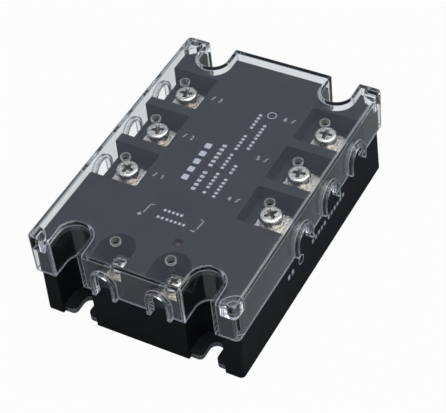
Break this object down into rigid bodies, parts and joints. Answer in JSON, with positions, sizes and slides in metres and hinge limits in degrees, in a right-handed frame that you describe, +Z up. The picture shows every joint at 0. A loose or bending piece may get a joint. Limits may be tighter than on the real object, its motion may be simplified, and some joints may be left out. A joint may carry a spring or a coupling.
{
  "type": "three-phase solid state relay",
  "caption": "Panel-mount solid state relay: black moulded block on an aluminium plate with slotted ears, side screw terminals and input screws under a clear lift-off cover.",
  "frame": {"origin": "centre of the aluminium base plate's underside, the face that sits on the heat sink", "axes": "+Z up away from the heat sink; +Y along the length, away from the end with the two input screws; +X to the right seen from the input end with +Z up"},
  "size_m": [0.0772, 0.1066, 0.035],
  "materials": {
    "aluminium": "bare rolled plate, lightly brushed",
    "black_plastic": "fine moulded texture, satin",
    "clear_plastic": "clear moulded polycarbonate",
    "nickel_steel": "nickel plated",
    "nickel_brass": "nickel plated brass strip",
    "copper": "bare copper",
    "ceramic_white": "alumina with soldered tracks",
    "silicon": "silicon die",
    "board_green": "solder-masked glass laminate",
    "part_black": "moulded epoxy package",
    "part_white": "moulded package",
    "capacitor_case": "boxed film capacitor",
    "resistor_body": "lacquered film resistor",
    "lamp": "tinted epoxy lens",
    "resin": "soft potting compound"
  },
  "bodies": {
    "relay": {"base_plate": "aluminium", "housing": "black_plastic", "terminal_nuts_m4": "nickel_steel", "terminal_nuts_m3": "nickel_steel", "status_led": "lamp", "circuit_board": "board_green", "potting_compound": "resin", "copper_clips": "copper", "gate_pins": "nickel_brass", "input_resistor": "resistor_body", "input_transistor": "part_black", "reverse_diode": "part_black", "line_terminal_1": "nickel_brass", "line_terminal_2": "nickel_brass", "line_terminal_3": "nickel_brass", "load_terminal_1": "nickel_brass", "load_terminal_2": "nickel_brass", "load_terminal_3": "nickel_brass", "positive_input_terminal": "nickel_brass", "negative_input_terminal": "nickel_brass", "ceramic_substrate_1": "ceramic_white", "thyristor_dies_1": "silicon", "optocoupler_1": "part_white", "snubber_capacitor_1": "capacitor_case", "snubber_resistor_1": "resistor_body", "ceramic_substrate_2": "ceramic_white", "thyristor_dies_2": "silicon", "optocoupler_2": "part_white", "snubber_capacitor_2": "capacitor_case", "snubber_resistor_2": "resistor_body", "ceramic_substrate_3": "ceramic_white", "thyristor_dies_3": "silicon", "optocoupler_3": "part_white", "snubber_capacitor_3": "capacitor_case", "snubber_resistor_3": "resistor_body"},
    "cover": {"terminal_cover": "clear_plastic"},
    "line_1_washers": {"line_square_washer_1": "nickel_steel", "line_spring_washer_1": "nickel_steel"},
    "line_1_screw": {"line_screw_1": "nickel_steel"},
    "line_2_washers": {"line_square_washer_2": "nickel_steel", "line_spring_washer_2": "nickel_steel"},
    "line_2_screw": {"line_screw_2": "nickel_steel"},
    "line_3_washers": {"line_square_washer_3": "nickel_steel", "line_spring_washer_3": "nickel_steel"},
    "line_3_screw": {"line_screw_3": "nickel_steel"},
    "load_1_washers": {"load_square_washer_1": "nickel_steel", "load_spring_washer_1": "nickel_steel"},
    "load_1_screw": {"load_screw_1": "nickel_steel"},
    "load_2_washers": {"load_square_washer_2": "nickel_steel", "load_spring_washer_2": "nickel_steel"},
    "load_2_screw": {"load_screw_2": "nickel_steel"},
    "load_3_washers": {"load_square_washer_3": "nickel_steel", "load_spring_washer_3": "nickel_steel"},
    "load_3_screw": {"load_screw_3": "nickel_steel"},
    "positive_input_washers": {"positive_input_washer": "nickel_steel"},
    "positive_input_screw": {"positive_input_screw": "nickel_steel"},
    "negative_input_washers": {"negative_input_washer": "nickel_steel"},
    "negative_input_screw": {"negative_input_screw": "nickel_steel"}
  },
  "joints": [
    {"name": "cover_lift", "type": "slide", "parent": "relay", "child": "cover", "axis": [0, 0, 1], "range_m": [0, 0.03]},
    {"name": "line_1_screw_lift", "type": "slide", "parent": "relay", "child": "line_1_washers", "axis": [0, 0, 1], "range_m": [0, 0.0028]},
    {"name": "line_1_screw_turn", "type": "hinge", "parent": "line_1_washers", "child": "line_1_screw", "pos_m": [-0.0264, -0.0093, 0.026], "axis": [0, 0, 1], "range_deg": [0, 1440]},
    {"name": "line_2_screw_lift", "type": "slide", "parent": "relay", "child": "line_2_washers", "axis": [0, 0, 1], "range_m": [0, 0.0028]},
    {"name": "line_2_screw_turn", "type": "hinge", "parent": "line_2_washers", "child": "line_2_screw", "pos_m": [-0.0264, 0.0106, 0.026], "axis": [0, 0, 1], "range_deg": [0, 1440]},
    {"name": "line_3_screw_lift", "type": "slide", "parent": "relay", "child": "line_3_washers", "axis": [0, 0, 1], "range_m": [0, 0.0028]},
    {"name": "line_3_screw_turn", "type": "hinge", "parent": "line_3_washers", "child": "line_3_screw", "pos_m": [-0.0264, 0.0305, 0.026], "axis": [0, 0, 1], "range_deg": [0, 1440]},
    {"name": "load_1_screw_lift", "type": "slide", "parent": "relay", "child": "load_1_washers", "axis": [0, 0, 1], "range_m": [0, 0.0028]},
    {"name": "load_1_screw_turn", "type": "hinge", "parent": "load_1_washers", "child": "load_1_screw", "pos_m": [0.0264, -0.0093, 0.026], "axis": [0, 0, 1], "range_deg": [0, 1440]},
    {"name": "load_2_screw_lift", "type": "slide", "parent": "relay", "child": "load_2_washers", "axis": [0, 0, 1], "range_m": [0, 0.0028]},
    {"name": "load_2_screw_turn", "type": "hinge", "parent": "load_2_washers", "child": "load_2_screw", "pos_m": [0.0264, 0.0106, 0.026], "axis": [0, 0, 1], "range_deg": [0, 1440]},
    {"name": "load_3_screw_lift", "type": "slide", "parent": "relay", "child": "load_3_washers", "axis": [0, 0, 1], "range_m": [0, 0.0028]},
    {"name": "load_3_screw_turn", "type": "hinge", "parent": "load_3_washers", "child": "load_3_screw", "pos_m": [0.0264, 0.0305, 0.026], "axis": [0, 0, 1], "range_deg": [0, 1440]},
    {"name": "positive_input_screw_lift", "type": "slide", "parent": "relay", "child": "positive_input_washers", "axis": [0, 0, 1], "range_m": [0, 0.0025]},
    {"name": "positive_input_screw_turn", "type": "hinge", "parent": "positive_input_washers", "child": "positive_input_screw", "pos_m": [-0.00985, -0.043, 0.0222], "axis": [0, 0, 1], "range_deg": [0, 1800]},
    {"name": "negative_input_screw_lift", "type": "slide", "parent": "relay", "child": "negative_input_washers", "axis": [0, 0, 1], "range_m": [0, 0.0025]},
    {"name": "negative_input_screw_turn", "type": "hinge", "parent": "negative_input_washers", "child": "negative_input_screw", "pos_m": [0.00985, -0.043, 0.0222], "axis": [0, 0, 1], "range_deg": [0, 1800]}
  ],
  "couplings": [
    {"joint": "line_1_screw_turn", "follows": "line_1_screw_lift", "rad_per_m": 8976},
    {"joint": "line_2_screw_turn", "follows": "line_2_screw_lift", "rad_per_m": 8976},
    {"joint": "line_3_screw_turn", "follows": "line_3_screw_lift", "rad_per_m": 8976},
    {"joint": "load_1_screw_turn", "follows": "load_1_screw_lift", "rad_per_m": 8976},
    {"joint": "load_2_screw_turn", "follows": "load_2_screw_lift", "rad_per_m": 8976},
    {"joint": "load_3_screw_turn", "follows": "load_3_screw_lift", "rad_per_m": 8976},
    {"joint": "positive_input_screw_turn", "follows": "positive_input_screw_lift", "rad_per_m": 12566},
    {"joint": "negative_input_screw_turn", "follows": "negative_input_screw_lift", "rad_per_m": 12566}
  ]
}
